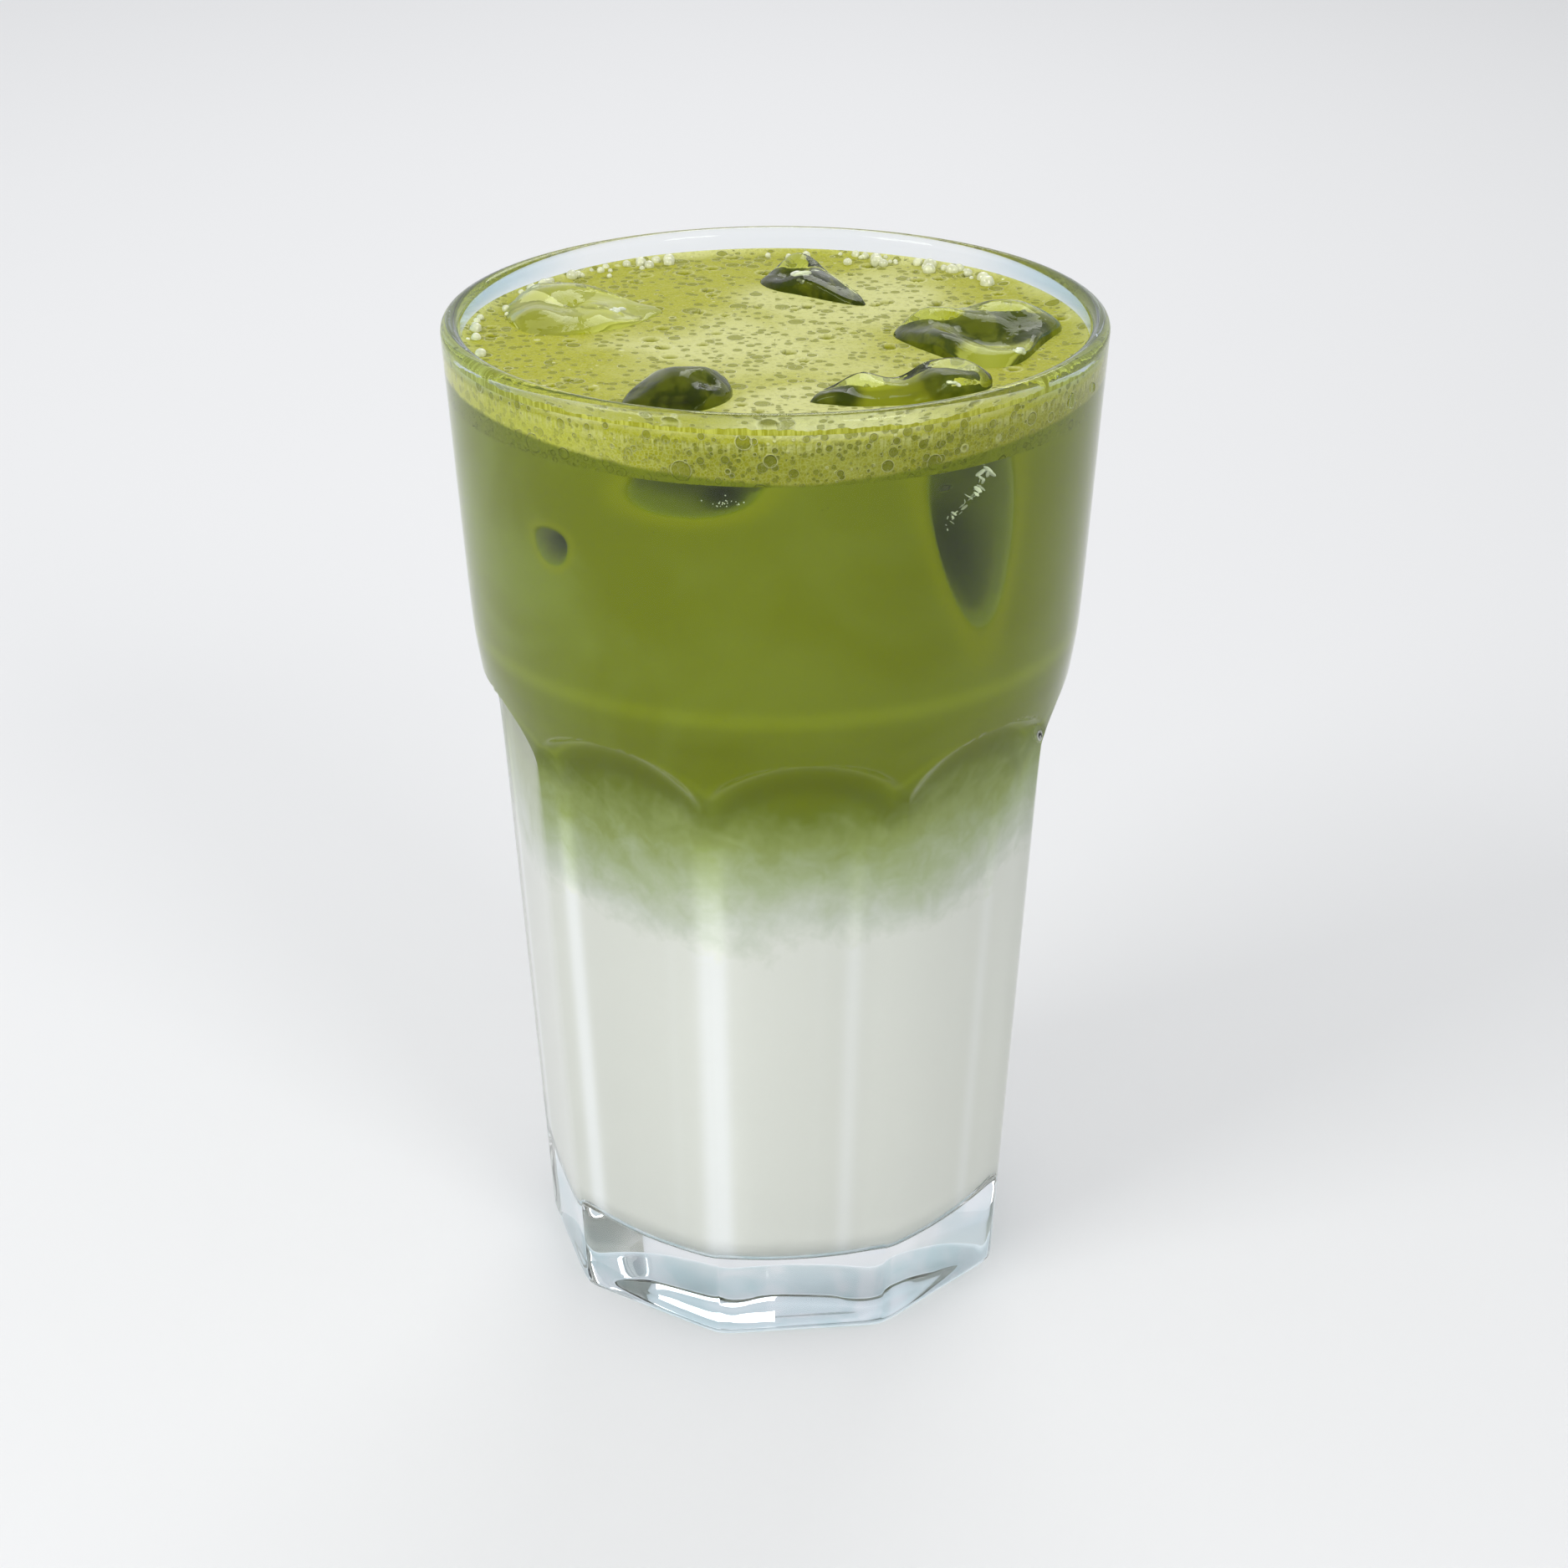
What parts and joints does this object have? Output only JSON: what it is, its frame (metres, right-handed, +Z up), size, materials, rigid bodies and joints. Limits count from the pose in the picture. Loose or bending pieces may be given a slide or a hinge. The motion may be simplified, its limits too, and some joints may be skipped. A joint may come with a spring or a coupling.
{
  "type": "iced matcha latte in a glass",
  "caption": "Iced matcha latte: white milk under green matcha and a bubbly foam with ice, in a clear panelled tumbler with a plain round rim.",
  "frame": {"origin": "centre of the foot's flat underside, on the table", "axes": "+Z up along the glass's axis; -Y towards the viewer; +X to the viewer's right"},
  "size_m": [0.0888, 0.0888, 0.14],
  "materials": {
    "clear_glass": "clear pressed soda glass, smooth and glossy",
    "milk": "opaque white milk with a faint cool tint",
    "matcha": "opaque mid green tea with milk, cloudy at its lower edge",
    "foam": "moist yellow-green froth with fine pits and bubbles",
    "ice": "clear wet ice, worn round, tinted by the tea"
  },
  "bodies": {
    "root": {"glass": "clear_glass", "milk": "milk", "matcha": "matcha", "foam": "foam", "ice_back_left": "ice", "ice_back_centre": "ice", "ice_right": "ice", "ice_front_left": "ice", "ice_front_right": "ice"}
  },
  "joints": []
}
